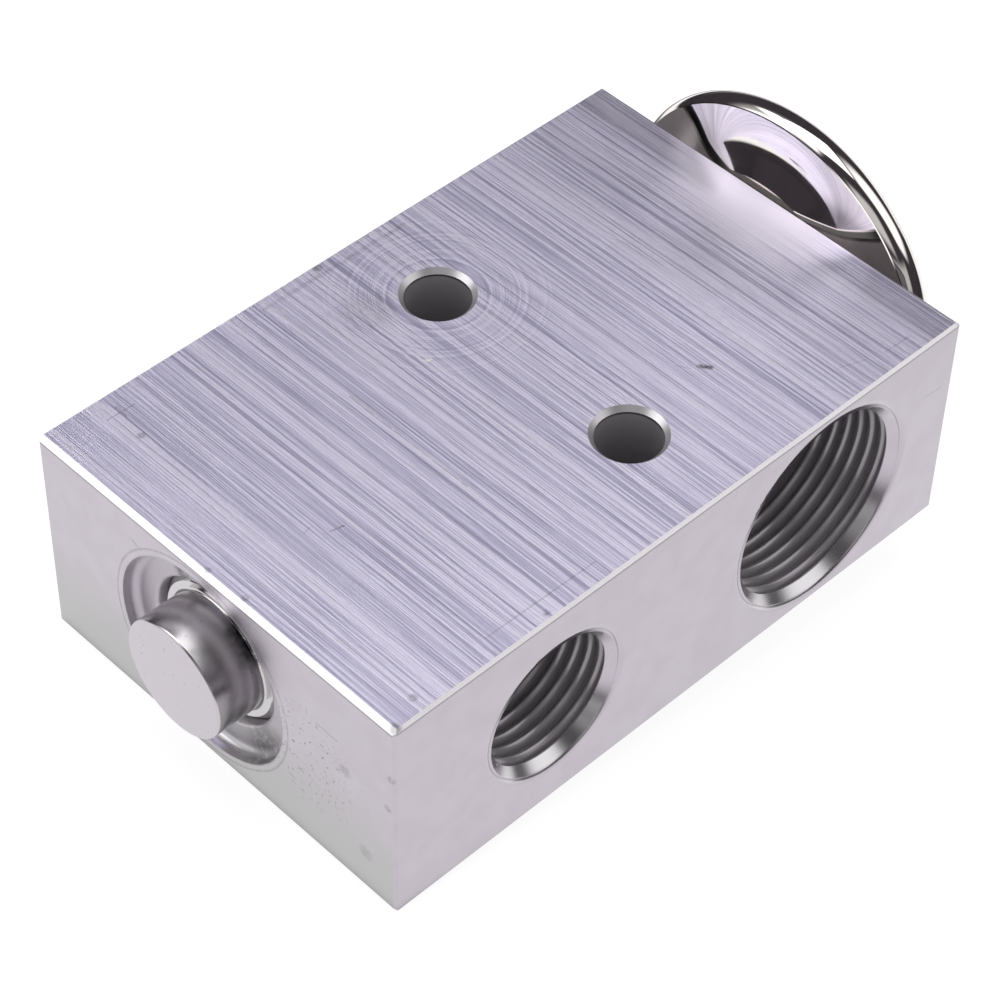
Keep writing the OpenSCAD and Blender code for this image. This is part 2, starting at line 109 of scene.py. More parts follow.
def lathe(name, x, outline, material, sharp=30):
    """A solid turned round the valve axis, from [radius, place along X] points."""
    bm = bmesh.new()
    rings = []
    for radius, place in outline:
        if radius == 0:
            rings.append([bm.verts.new(metres(x + place, AXIS.y, AXIS.z))])
            continue
        angles = [2 * math.pi * i / TURN_STEPS for i in range(TURN_STEPS)]
        rings.append([bm.verts.new(metres(x + place, AXIS.y + radius * math.cos(a),
                                          AXIS.z + radius * math.sin(a))) for a in angles])
    closed = len(rings[0]) > 1
    pairs = list(zip(rings, rings[1:]))
    if closed:
        pairs.append((rings[-1], rings[0]))
    for a, b in pairs:
        for i in range(TURN_STEPS):
            j = (i + 1) % TURN_STEPS
            corners = [a[i % len(a)], a[j % len(a)], b[j % len(b)], b[i % len(b)]]
            bm.faces.new(list(dict.fromkeys(corners)))
    return finish_mesh(name, bm, material, sharp)


# Node trees

class Tree:
    """Builds a node tree in few words."""

    def __init__(self, tree):
        self.tree = tree
        tree.nodes.clear()

    def node(self, kind, inputs=None, **settings):
        """A node, with links or values for its inputs."""
        made = self.tree.nodes.new("ShaderNode" + kind)
        for key, value in settings.items():
            setattr(made, key, value)
        for key, value in (inputs or {}).items():
            if isinstance(value, bpy.types.NodeSocket):
                self.tree.links.new(value, made.inputs[key])
            else:
                made.inputs[key].default_value = value
        return made

    def math(self, operation, a, b=0.0, clamp=False):
        return self.node("Math", {0: a, 1: b}, operation=operation, use_clamp=clamp).outputs[0]

    def times(self, first, *others):
        """The product of two or more values."""
        for other in others:
            first = self.math("MULTIPLY", first, other)
        return first

    def most(self, first, *others):
        """The largest of two or more values."""
        for other in others:
            first = self.math("MAXIMUM", first, other)
        return first

    def off(self, value, middle=0.0):
        """How far a value lies from the middle."""
        return self.math("ABSOLUTE", self.math("SUBTRACT", value, middle))

    def vector(self, operation, a, b):
        return self.node("VectorMath", {0: a, 1: b}, operation=operation).outputs["Vector"]

    def length(self, a):
        return self.node("VectorMath", {0: a}, operation="LENGTH").outputs["Value"]

    def dot(self, a, b):
        return self.node("VectorMath", {0: a, 1: b}, operation="DOT_PRODUCT").outputs["Value"]

    def noise(self, place, scale=1.0, detail=2.0, roughness=0.5):
        inputs = {"Vector": place, "Scale": scale, "Detail": detail, "Roughness": roughness}
        return self.node("TexNoise", inputs).outputs["Fac"]

    def ramp(self, value, low, high, to_low=0.0, to_high=1.0):
        """A smooth step from to_low at low to to_high at high."""
        inputs = {"Value": value, 1: low, 2: high, 3: to_low, 4: to_high}
        return self.node("MapRange", inputs, interpolation_type="SMOOTHSTEP").outputs[0]

    def mix(self, factor, a, b):
        return self.node("Mix", {0: factor, 6: a, 7: b}, data_type="RGBA").outputs[2]

    def blend(self, factor, a, b):
        """The same as mix, for plain values."""
        return self.node("Mix", {0: factor, 2: a, 3: b}, data_type="FLOAT").outputs[0]

    def distance(self, place, centre, scale):
        """Length from the centre to a place, with each direction scaled."""
        away = self.vector("SUBTRACT", place, centre)
        return self.length(self.vector("MULTIPLY", away, scale))

    def spot(self, place, centre, radius, soft):
        """1 within a round spot and 0 outside it, with a soft edge."""
        away = self.length(self.vector("SUBTRACT", place, centre))
        return self.ramp(away, radius + soft / 2, radius - soft / 2)

    def scratch(self, place, start, end, width):
        """1 along a straight scratch and 0 beside it."""
        along = Vector(end) - Vector(start)
        away = self.vector("SUBTRACT", place, start)
        reach = self.math("MULTIPLY", self.dot(away, tuple(along)), 1 / along.length_squared)
        reach = self.math("MULTIPLY", reach, 1.0, clamp=True)
        nearest = self.node("VectorMath", {0: tuple(along), "Scale": reach}, operation="SCALE")
        away = self.length(self.vector("SUBTRACT", away, nearest.outputs["Vector"]))
        return self.ramp(away, width / 2, 0.0)

    def place(self):
        """Place on the object, in millimetres."""
        found = self.node("TexCoord").outputs["Object"]
        return self.vector("MULTIPLY", found, (1 / MM,) * 3)

    def normal(self):
        """Normal of the surface, in the object's own frame."""
        return self.node("TexCoord").outputs["Normal"]

    def xyz(self, vector):
        return self.node("SeparateXYZ", {0: vector}).outputs[:3]

    def bump(self, height, distance, strength=1.0):
        """Normal for a height of 0 to 1, which stands for that many millimetres."""
        inputs = {"Height": height, "Distance": distance * MM, "Strength": strength}
        return self.node("Bump", inputs).outputs["Normal"]

    def surface(self, shader):
        self.node("OutputMaterial", {"Surface": shader})


def grey(value, tint=(0.0, 0.0, 0.0)):
    """A colour of that value, with a little added to each channel."""
    return tuple(value + t for t in tint) + (1.0,)


def new_material(name):
    material = bpy.data.materials.new(name)
    material.use_nodes = True
    return material, Tree(material.node_tree)


def metal(tree, colour, roughness, normal=None, **constants):
    """A metal shader, with more of its sockets by name."""
    inputs = {"Base Color": colour, "Roughness": roughness, "Metallic": 1.0}
    if normal is not None:
        inputs["Normal"] = normal
    inputs.update({key.replace("_", " "): value for key, value in constants.items()})
    return tree.node("BsdfPrincipled", inputs).outputs[0]


# Camera, as worked out from the corners of the block in the photograph

camera_data = bpy.data.cameras.new("camera")
camera_data.lens = 113.983
camera_data.sensor_width = 36.0
camera_data.clip_start = 0.01
camera_data.clip_end = 20.0
camera = bpy.data.objects.new("camera", camera_data)
camera.location = metres(-151.551, -146.737, 230.946)
camera.rotation_euler = Euler([math.radians(a) for a in (43.2281, -1.0588, -44.0926)])
bpy.context.scene.collection.objects.link(camera)
bpy.context.scene.camera = camera
bpy.context.scene.view_settings.view_transform = "Standard"


# Light

def direction(azimuth, elevation):
    """Unit vector. Azimuth 0 is +X and 90 is +Y, in degrees."""
    a, e = math.radians(azimuth), math.radians(elevation)
    return Vector((math.cos(e) * math.cos(a), math.cos(e) * math.sin(a), math.sin(e)))


# Softboxes that metal mirrors: brightness, and corners as azimuth, elevation
# and the softness of the edge to the next corner, all in degrees. The corners
# run anticlockwise as seen from the object.
SOFTBOXES = (
    (0.4, ((0, 76, 20), (66, 57, 24), (101, 28, 14), (122, 15, 6), (168, 16, 6), (260, 89, 10))),
    (2.4, ((121, 14, 6), (170, 18, 6), (165, 40, 12), (118, 40, 12))),
    (3.2, ((90, 42, 10), (130, 46, 10), (165, 52, 10), (160, 64, 10), (104, 66, 10), (86, 56, 10))),
    (1.2, ((287, 28, 8), (303, 14, 10), (332, 12, 16), (352, 40, 20), (344, 66, 12), (288, 66, 8))),
    (1.0, ((350, -30, 20), (60, -30, 30), (60, -3, 8), (350, -1, 8))),
    (0.5, ((215, 0, 8), (272, 2, 8), (280, 18, 8), (222, 12, 8))),
    (0.6, ((200, 22, 12), (250, 22, 12), (250, 50, 12), (200, 50, 12))),
)
ROOM_LEVEL = (0.042, 0.036, 0.043, 1.0)
LIGHT_LEVEL = 0.75


def softbox(tree, way, corners):
    """1 inside the softbox's outline and 0 outside it, with soft edges."""
    inside = 1.0
    following = corners[1:] + corners[:1]
    for (azimuth, elevation, soft), after in zip(corners, following):
        edge = direction(azimuth, elevation).cross(direction(after[0], after[1])).normalized()
        reach = math.sin(math.radians(soft / 2))
        inside = tree.times(inside, tree.ramp(tree.dot(way, tuple(edge)), -reach, reach))
    return inside


def studio_world():
    """White to the camera. Metal mirrors the softboxes in a dark room. They
    have a shader of their own, which is worked out only for mirrored rays."""
    world = bpy.data.worlds.new("studio")
    world.use_nodes = True
    tree = Tree(world.node_tree)
    way = tree.node("TexCoord").outputs["Generated"]
    mirrored = ROOM_LEVEL
    for level, corners in SOFTBOXES:
        mirrored = tree.mix(softbox(tree, way, corners), mirrored, grey(level))
    path = tree.node("LightPath").outputs
    clear = tree.math("MAXIMUM", path["Is Camera Ray"], path["Is Transmission Ray"])
    glossy = tree.times(path["Is Glossy Ray"], tree.math("SUBTRACT", 1.0, clear))
    plain = tree.mix(clear, grey(LIGHT_LEVEL), grey(1.0))
    sky = tree.node("Background", {"Color": plain, "Strength": 1.0})
    room = tree.node("Background", {"Color": mirrored, "Strength": 1.0})
    seen = tree.node("MixShader", {0: glossy, 1: sky.outputs[0], 2: room.outputs[0]})
    tree.node("OutputWorld", {"Surface": seen.outputs[0]})
    bpy.context.scene.world = world


# Corners and soft edge of the white paper that metal mirrors in the floor, in
# millimetres from the block's bottom edge
PAPER_LOW = (-200, -70)
PAPER_HIGH = (2000, 180)
PAPER_SOFT = 60
# Soft edge of the painted shadow under the block
PAINTED_SHADOW_SOFT = 2
# Shadow of the head on the paper
SHADE_LOW = (65, 5)
SHADE_HIGH = (150, 90)
SHADE_SOFT = 30
# Brightness of the paper, and how much light the floor sends back to the object
PAPER_LEVEL = 0.9
FLOOR_BOUNCE = 0.18
# Half the floor's width, and its gap under the block, in metres
FLOOR_SIZE = 4.0
FLOOR_GAP = 0.0001
# From the outer end of the block to the widest part of the head's rim
RIM_FROM_SHELL = 1.5


def area(tree, place, low, high, soft):
    """1 inside a rectangle of the floor and 0 outside it, with soft edges."""
    inside = 1.0
    for axis, start, end in zip(place, low, high):
        inside = tree.times(inside, tree.ramp(axis, start - soft / 2, start + soft / 2),
                            tree.ramp(axis, end + soft / 2, end - soft / 2))
    return inside


def floor_material(origin_x):
    """White paper to the camera. Metal mirrors the paper's outline and a painted shadow under the
    block and beside the head, and the object casts a soft shadow on it."""
    material, tree = new_material("floor_white")
    place = tree.xyz(tree.place())[:2]
    path = tree.node("LightPath").outputs
    paper = area(tree, place, PAPER_LOW, PAPER_HIGH, PAPER_SOFT)
    # Painted shadow on the floor under the block and beside the head, seen only by mirrored rays.
    painted_floor_shadow = area(tree, place, (BLOCK_LOW.x - origin_x, BLOCK_LOW.y),
                (BLOCK_HIGH.x - origin_x, BLOCK_HIGH.y), PAINTED_SHADOW_SOFT)
    painted_floor_shadow = tree.most(painted_floor_shadow, area(tree, place, SHADE_LOW, SHADE_HIGH, SHADE_SOFT))
    painted_floor_shadow = tree.times(painted_floor_shadow, path["Is Glossy Ray"])
    white = tree.blend(path["Is Glossy Ray"], 1.0, paper)
    matt = tree.node("BsdfDiffuse", {"Color": tree.mix(white, ROOM_LEVEL, grey(FLOOR_BOUNCE))})
    seen = tree.most(path["Is Camera Ray"], path["Is Glossy Ray"], path["Is Transmission Ray"])
    seen = tree.times(seen, tree.math("SUBTRACT", white, painted_floor_shadow, clamp=True))
    glow = tree.node("Emission", {"Color": grey(PAPER_LEVEL), "Strength": seen})
    tree.surface(tree.node("AddShader", {0: matt.outputs[0], 1: glow.outputs[0]}).outputs[0])
    return material


def floor():
    """Plain floor through what the valve rests on: the head's rim and the
    bottom edge of the plug end."""
    rim = metres(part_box("upper_shell")[0].x / MM + RIM_FROM_SHELL, 0, AXIS.z - HEAD_R)
    edge = metres(BLOCK_LOW.x, 0, 0)
    tilt = math.atan2(edge.z - rim.z, rim.x - edge.x)
    mesh = bpy.data.meshes.new("floor")
    signs = ((-1, -1), (1, -1), (1, 1), (-1, 1))
    corners = [(i * FLOOR_SIZE, j * FLOOR_SIZE, 0) for i, j in signs]
    mesh.from_pydata(corners, [], [(0, 1, 2, 3)])
    plane = bpy.data.objects.new("floor", mesh)
    plane.location = edge - Vector((0, 0, FLOOR_GAP))
    plane.rotation_euler = (0, tilt, 0)
    bpy.context.scene.collection.objects.link(plane)
    mesh.materials.append(floor_material(plane.location.x / MM))


def lamp(name, place, target, size, power):
    data = bpy.data.lights.new(name, "AREA")
    data.size = size
    data.energy = power
    light = bpy.data.objects.new(name, data)
    light.location = place
    light.rotation_euler = (Vector(target) - Vector(place)).to_track_quat("-Z", "Y").to_euler()
    bpy.context.scene.collection.objects.link(light)


studio_world()
floor()
lamp("top_light", (0.1, 0.1, 0.9), (0, 0, 0), 0.6, 2.0)


# Materials

# Scratches on the block, as start and end, width and how much they darken
SCRATCHES = (
    ((-33.5, 21.0, BLOCK_T), (-30.4, 20.9, BLOCK_T), 0.25, 0.45),
    ((-31.9, 21.8, BLOCK_T), (-31.9, 20.2, BLOCK_T), 0.25, 0.6),
    ((-27.9, -3.1, BLOCK_T), (-26.6, -3.4, BLOCK_T), 0.35, 0.6),
    ((-29.8, -1.7, BLOCK_T), (-28.9, -1.5, BLOCK_T), 0.25, 0.3),
    ((11.1, -11.0, BLOCK_T), (11.7, -11.8, BLOCK_T), 0.95, 0.9),
    ((9.5, -9.4, BLOCK_T), (10.2, -10.6, BLOCK_T), 0.2, 0.3),
    ((-15.35, 8.2, BLOCK_T), (-15.35, -7.4, BLOCK_T), 0.25, 0.45),
    ((-13.4, 22.3, BLOCK_T), (4.3, 22.1, BLOCK_T), 0.9, 0.25),
    ((-26.5, -21.4, BLOCK_T), (-13.4, -21.6, BLOCK_T), 0.3, 0.3),
    ((25.2, -21.6, BLOCK_T), (28.3, -21.7, BLOCK_T), 0.3, 0.35),
    ((20.3, -20.0, BLOCK_T), (23.0, -21.0, BLOCK_T), 0.25, 0.25),
    ((BLOCK_LOW.x, -13.8, 17.9), (BLOCK_LOW.x, -16.4, 17.8), 0.35, 0.3),
    ((BLOCK_LOW.x, -9.7, 7.4), (BLOCK_LOW.x, -10.6, 7.2), 0.35, 0.3),
    ((BLOCK_LOW.x, 10.8, 21.9), (BLOCK_LOW.x, 9.6, 21.4), 0.5, 0.3),
    ((29.5, BLOCK_LOW.y, 18.1), (32.0, BLOCK_LOW.y, 17.8), 0.3, 0.25),
)
# A bright nick beside a mounting hole, as the starts and ends of its strokes
NICKS = (
    ((-7.2, 7.1, BLOCK_T), (-6.9, 6.7, BLOCK_T)),
    ((-6.9, 6.7, BLOCK_T), (-6.5, 6.7, BLOCK_T)),
)
NICK_W = 0.4
# Dirt, as place, radius and how much it darkens
SPECKS = (
    ((-5.9, 23.2, BLOCK_T), 0.5, 0.6),
    ((-6.5, 15.5, BLOCK_T), 2.5, 0.2),
    ((-32.5, 17.4, BLOCK_T), 0.4, 0.4),
    ((-38.8, 0.8, BLOCK_T), 0.35, 0.4),
    ((-38.6, -3.9, BLOCK_T), 0.35, 0.4),
    ((-35.6, -22.0, BLOCK_T), 0.4, 0.4),
    ((-20.7, -22.9, BLOCK_T), 0.35, 0.5),
    ((-39.0, -23.4, BLOCK_T), 0.6, 0.5),
    ((BLOCK_LOW.x, -17.4, 14.6), 0.7, 0.25),
    ((BLOCK_LOW.x, -22.9, 14.4), 0.4, 0.35),
    ((BLOCK_LOW.x, -19.9, 5.3), 0.8, 0.2),
    ((BLOCK_LOW.x, -23.3, 18.7), 0.4, 0.35),
    ((BLOCK_LOW.x + 1.4, 5.7, 20.6), 1.0, 0.7),
)


# Colours of the block: dirt and painted shade, the sawn faces' lines and the
# painted highlight patch beside the head, the satin sides with painted shade low on
# the ends, chamfers, brighter partly as a painted highlight, the head end's chamfer
# in painted shade, bores, darker partly as painted shade, and the nick
DARK = grey(0.05)
SAWN_LOW = grey(0.45, (0.0, -0.025, 0.15))
SAWN_HIGH = grey(0.89, (0.0, -0.045, 0.11))
SAWN_PAINTED_HIGHLIGHT = grey(0.87, (0.02, -0.055, 0.06))
SATIN_LOW = grey(0.51, (0.01, -0.035, 0.02))
SATIN_HIGH = grey(0.54, (0.01, -0.035, 0.025))
SATIN_PAINTED_SHADE = grey(0.46, (0.0, 0.0, -0.005))
CHAMFER_POLISH_AND_HIGHLIGHT = grey(0.68, (0.01, -0.01, 0.01))
CHAMFER_PAINTED_SHADE_AT_HEAD = grey(0.07)
BORE_DULL_AND_SHADE = grey(0.42, (0.005, -0.02, 0.01))
NICK = grey(1.0)

# Recess at the plug end
RECESS_R = 11.1


class Zones:
    """Masks for the parts of the block's surface, 1 inside and 0 outside."""

    def __init__(self, tree):
        self.place = tree.place()
        self.x, self.y, self.z = tree.xyz(self.place)
        nx, ny, self.nz = (tree.math("ABSOLUTE", n) for n in tree.xyz(tree.normal()))
        self.faces(tree, nx, ny)
        self.edges_of(tree, tree.ramp(tree.most(nx, ny, self.nz), 0.97, 0.9))
        self.hollows(tree)

    def faces(self, tree, nx, ny):
        """The two large faces, the ends, the port faces, painted shade on the head end right by the
        head, and a painted highlight patch beside the head.
        """
        self.large = tree.ramp(self.nz, 0.97, 0.995)
        self.end_face = tree.ramp(nx, 0.9, 0.99)
        self.port_face = tree.ramp(ny, 0.9, 0.99)
        self.gap = tree.times(self.end_face,
                              tree.ramp(self.x, BLOCK_HIGH.x - 0.2, BLOCK_HIGH.x - 0.1))
        # A painted highlight patch on the large faces beside the head: brighter colour, calmer lines
        # and more roughness.
        beside = tree.distance(self.place, (BLOCK_HIGH.x + 1.5, AXIS.y - 0.5, 0.0),
                               (1 / 11, 1 / 14, 0.0))
        self.painted_highlight_patch = tree.ramp(beside, 1.0, 0.45)

    def edges_of(self, tree, slanted):
        """Chamfers, with those of the head end, which get painted shade, and the mounting holes
        apart.
        """
        self.edges = tree.times(slanted, tree.ramp(self.nz, 0.3, 0.5),
                                tree.ramp(self.x, BLOCK_HIGH.x - 0.4, BLOCK_HIGH.x - 0.7))
        self.head_edge_painted_shade = tree.times(slanted,
                                    tree.ramp(self.x, BLOCK_HIGH.x - 0.45, BLOCK_HIGH.x - 0.35),
                                    tree.ramp(tree.off(self.y, AXIS.y), 17.0, 14.0))
        self.hole_edge = tree.times(self.edges, tree.ramp(tree.off(self.x), 5.5, 5.0),
                                    tree.ramp(tree.off(self.y), 18.5, 18.0))

    def hollows(self, tree):
        """Bores, whose walls lie within the block's faces, and the recess at the plug end, with a
        ring of painted shade round it."""
        self.inside = tree.times(
            tree.ramp(self.x, BLOCK_LOW.x + 2.2, BLOCK_LOW.x + 3),
            tree.ramp(tree.off(self.y), BLOCK_HIGH.y - 1.3, BLOCK_HIGH.y - 1.5),
            tree.ramp(self.z, BLOCK_T - 0.6, BLOCK_T - 0.9), tree.ramp(self.z, 0.6, 0.9))
        self.from_axis = tree.distance(self.place, (0.0, AXIS.y, AXIS.z), (0.0, 1.0, 1.0))
        at_end = tree.ramp(self.x, BLOCK_LOW.x + 3, BLOCK_LOW.x + 2.2)
        self.recess = tree.times(at_end, tree.ramp(self.from_axis, RECESS_R + 0.1, RECESS_R - 0.1))
        # A narrow ring round the recess, darkened later as painted shade.
        self.ring = tree.times(tree.ramp(self.from_axis, 11.5, 11.7),
                               tree.ramp(self.from_axis, 11.9, 11.75), at_end, self.end_face)


def sawn_lines(tree, zones):
    """Lines along Y, with rings round one of the holes from a drill's chips.
    They fade out in the painted highlight patch beside the head."""
    fine = tree.noise(tree.vector("MULTIPLY", zones.place, (9.0, 0.07, 1.0)), 1.0, 5.0, 0.75)
    long = tree.noise(tree.vector("MULTIPLY", zones.place, (3.0, 0.006, 1.0)), 1.0, 4.0, 0.75)
    lines = tree.math("ADD", tree.times(fine, 0.45), tree.times(long, 0.55))
    away = tree.distance(zones.place, (0.0, BOLT_Y, 0.0), (1.0, 1.0, 0.0))
    rings = tree.noise(tree.node("CombineXYZ", {"X": away}).outputs[0], 2.2, 3.0, 0.7)
    rings = tree.times(tree.math("SUBTRACT", rings, 0.5), 0.45, tree.ramp(away, 3.9, 4.4),
                       tree.ramp(away, 13.0, 6.0))
    lines = tree.ramp(tree.math("ADD", lines, rings), 0.42, 0.58)
    return tree.blend(tree.times(zones.painted_highlight_patch, 0.9), lines, 0.85)


def sawn_colour(tree, zones, lines):
    """Colour of the two large faces, with painted shade towards the head and a painted highlight
    patch beside it."""
    sawn = tree.mix(lines, SAWN_LOW, SAWN_HIGH)
    sawn = tree.mix(tree.times(zones.painted_highlight_patch, 0.5), sawn, SAWN_PAINTED_HIGHLIGHT)
    aside = tree.math("ADD", tree.off(zones.y, -2.0),
                      tree.ramp(zones.x, BLOCK_HIGH.x, BLOCK_HIGH.x - 6, 0.0, 5.0))
    # Painted shade: darker on both sides of the painted highlight patch near the head end, and along
    # the middle towards the head.
    corners = tree.times(tree.ramp(aside, 6.0, 12.0), tree.ramp(zones.x, 27.0, 31.0, 0.0, 0.37))
    middle = tree.times(tree.ramp(tree.off(zones.y, -3.0), 11.0, 2.0, 0.13, 0.32),
                        tree.ramp(zones.x, 14.0, 25.0), tree.ramp(zones.x, 33.0, 29.5, 0.6, 1.0))
    return tree.mix(tree.most(corners, middle), sawn, DARK)


def satin_colour(tree, zones, mottle):
    """Colour of the port faces and the ends, with painted shade low on the ends."""
    satin = tree.mix(tree.ramp(mottle, 0.3, 0.7), SATIN_LOW, SATIN_HIGH)
    # Painted shade low on the ends.
    painted_low_shade = tree.times(zones.end_face, tree.ramp(zones.z, 15.0, 4.0, 0.0, 0.8))
    return tree.mix(painted_low_shade, satin, SATIN_PAINTED_SHADE)


def block_dirt_and_shade(tree, zones):
    """How much dirt, scratches and painted shade darken the block, from 0 to 1. The painted shade
    lies low in the recess, in a ring round it and in a line under the top chamfers.
    """
    specks = tree.ramp(tree.noise(zones.place, 2.2, 3.0, 0.7), 0.58, 0.7)
    cloud = tree.spot(zones.place, (BLOCK_LOW.x, -12.5, 12.0), 6.0, 6.0)
    smudge = tree.spot(zones.place, (BLOCK_LOW.x + 1.8, -4.4, 19.2), 3.6, 2.5)
    # Painted shade low in the recess at the plug end.
    recess_painted_shade = tree.spot(zones.place, (BLOCK_LOW.x + 0.9, -6.0, 5.2), 3.2, 3.0)
    dirt = tree.most(tree.times(specks, cloud, 0.75),
                     tree.times(smudge, tree.ramp(zones.from_axis, 10.0, 8.8), 0.95),
                     tree.times(recess_painted_shade, zones.recess, 0.6), tree.times(zones.ring, 0.3))
    for start, end, width, depth in SCRATCHES:
        dirt = tree.most(dirt, tree.times(tree.scratch(zones.place, start, end, width), depth))
    for centre, radius, depth in SPECKS:
        dirt = tree.most(dirt, tree.times(tree.spot(zones.place, centre, radius, radius), depth))
    broken = tree.ramp(tree.noise(zones.place, 1.6, 4.0, 0.7), 0.32, 0.55, 0.25, 1.0)
    # Painted shade: a dark line on the ends and port faces just under the top chamfers.
    painted_line_under_edge = tree.math("ADD", tree.times(zones.end_face, tree.ramp(zones.z, 24.5, 24.8)),
                           tree.times(zones.port_face, tree.ramp(zones.z, 24.75, 25.0)))
    return tree.most(tree.times(dirt, broken), tree.times(painted_line_under_edge, 0.4))


def block_material():
    """Bare machined alloy: sawn lines on the two large faces, satin sides, bright chamfers and port
    mouths, brighter partly as a painted highlight, and dull bores, darker partly as painted shade."""
    material, tree = new_material("block_alloy")
    zones = Zones(tree)
    mottle = tree.noise(zones.place, 0.35, 3.0)
    lines = sawn_lines(tree, zones)

    colour = tree.mix(zones.large, satin_colour(tree, zones, mottle),
                      sawn_colour(tree, zones, lines))
    # Chamfers are brighter, partly for a smoother polish and partly as a painted highlight.
    colour = tree.mix(zones.edges, colour, CHAMFER_POLISH_AND_HIGHLIGHT)
    # Painted shade on the head end's chamfers, dark where they sit behind the head.
    colour = tree.mix(zones.head_edge_painted_shade, colour, CHAMFER_PAINTED_SHADE_AT_HEAD)
    # Painted shade on the head end face, right by the head.
    colour = tree.mix(tree.times(zones.gap, 0.5), colour, DARK)
    # Bore walls are darker, partly for their dull drilled finish and partly as painted shade.
    colour = tree.mix(zones.inside, colour, BORE_DULL_AND_SHADE)
    colour = tree.mix(block_dirt_and_shade(tree, zones), colour, DARK)
    nick = tree.most(*(tree.scratch(zones.place, start, end, NICK_W) for start, end in NICKS))
    colour = tree.mix(nick, colour, NICK)

    roughness = tree.blend(zones.large, tree.ramp(mottle, 0.3, 0.7, 0.24, 0.26),
                           tree.ramp(zones.painted_highlight_patch, 0.0, 1.0, 0.35, 0.47))
    roughness = tree.blend(zones.inside, roughness, 0.22)
    roughness = tree.blend(zones.recess, roughness, 0.36)
    roughness = tree.blend(zones.hole_edge, roughness, 0.42)

    # The glint of the sawn faces is spread across their lines
    level = tree.math("GREATER_THAN", zones.nz, 0.9)
    across = tree.node("CombineXYZ", {"X": level, "Z": tree.math("SUBTRACT", 1.0, level)})
    dull = tree.math("ADD", tree.times(zones.large, 0.15), tree.times(zones.inside, 0.6))
    dull = tree.math("ADD", dull, tree.times(zones.recess, 0.2))
    tree.surface(metal(tree, colour, roughness, tree.bump(tree.times(lines, zones.large), 0.012),
                       Tangent=across.outputs[0], Anisotropic=tree.times(zones.large, 0.85),
                       Metallic=tree.math("SUBTRACT", 1.0, dull)))
    return material


def plug_material():
    """Turned alloy, with a satin tip, a brighter shoulder and a smudge on it."""
    material, tree = new_material("plug_metal")
    place = tree.place()
    x = tree.xyz(place)[0]
    fine = tree.ramp(tree.noise(place, 2.5, 3.0), 0.3, 0.7)
    tip = tree.ramp(x, PLUG_TIP_X + 0.2, PLUG_TIP_X + 0.1)
    shoulder = tree.ramp(x, BLOCK_LOW.x + 1.5, BLOCK_LOW.x + 1.9)
    colour = tree.mix(fine, grey(0.59, (0.0, -0.015, -0.005)), grey(0.6, (0.0, -0.015, -0.005)))
    colour = tree.mix(tip, colour, grey(0.57, (0.01, -0.035, 0.015)))
    specks = tree.ramp(tree.noise(place, 3.0, 2.0), 0.68, 0.74)
    broken = tree.ramp(tree.noise(place, 1.6, 4.0, 0.7), 0.35, 0.55)
    smudge = tree.spot(place, (BLOCK_LOW.x + 2.1, -3.6, 18.4), 3.0, 2.0)
    dirt = tree.most(tree.times(specks, 0.5), tree.times(smudge, broken, shoulder, 0.85))
    colour = tree.mix(dirt, colour, grey(0.05, (0.01, 0.0, 0.02)))
    roughness = tree.blend(shoulder, tree.blend(fine, 0.24, 0.26), 0.1)
    tree.surface(metal(tree, colour, roughness))
    return material


def chrome_material():
    """Polished plating with a faint haze."""
    material, tree = new_material("head_chrome")
    haze = tree.noise(tree.place(), 0.6, 3.0)
    colour = tree.mix(tree.ramp(haze, 0.3, 0.7), grey(0.84, (0.03, -0.015, -0.04)),
                      grey(0.88, (0.03, -0.015, -0.04)))
    tree.surface(metal(tree, colour, tree.ramp(haze, 0.3, 0.7, 0.03, 0.07)))
    return material


def turned_material(name, low, high, roughness):
    """Turned metal with fine rings round the valve axis."""
    material, tree = new_material(name)
    place = tree.place()
    rings = tree.noise(tree.vector("MULTIPLY", place, (6.0, 0.3, 0.3)), 1.0, 2.0)
    colour = tree.mix(tree.ramp(rings, 0.3, 0.7), low, high)
    roughness = tree.ramp(rings, 0.3, 0.7, roughness * 0.8, roughness * 1.2)
    tree.surface(metal(tree, colour, roughness, tree.bump(rings, 0.004)))
    return material


def rubber_material():
    """Black seal rubber with a fine grain."""
    material, tree = new_material("seal_rubber")
    grain = tree.noise(tree.place(), 4.0, 3.0)
    colour = tree.mix(grain, grey(0.012), grey(0.03))
    inputs = {"Base Color": colour, "Roughness": tree.ramp(grain, 0.3, 0.7, 0.35, 0.5),
              "Normal": tree.bump(grain, 0.01)}
    tree.surface(tree.node("BsdfPrincipled", inputs).outputs[0])
    return material


MATERIALS = {
    "block_alloy": block_material(),
    "plug_metal": plug_material(),
    "head_chrome": chrome_material(),
    "ball_steel": turned_material("ball_steel", grey(0.6), grey(0.68), 0.08),
    "pin_steel": turned_material("pin_steel", grey(0.5), grey(0.58), 0.2),
    "rod_alloy": turned_material("rod_alloy", grey(0.55), grey(0.64), 0.25),
    "carrier_brass": turned_material("carrier_brass", grey(0.5, (0.12, 0.03, -0.2)),
                                     grey(0.56, (0.14, 0.04, -0.2)), 0.25),
    "spring_wire": turned_material("spring_wire", grey(0.42), grey(0.52), 0.22),
    "diaphragm_steel": turned_material("diaphragm_steel", grey(0.56), grey(0.62), 0.15),
    "seal_rubber": rubber_material(),
}
for node in frame["nodes"].values():
    for slot in node.material_slots:
        slot.material = MATERIALS[slot.material.name]


# Power head, with heights measured from the end of the block

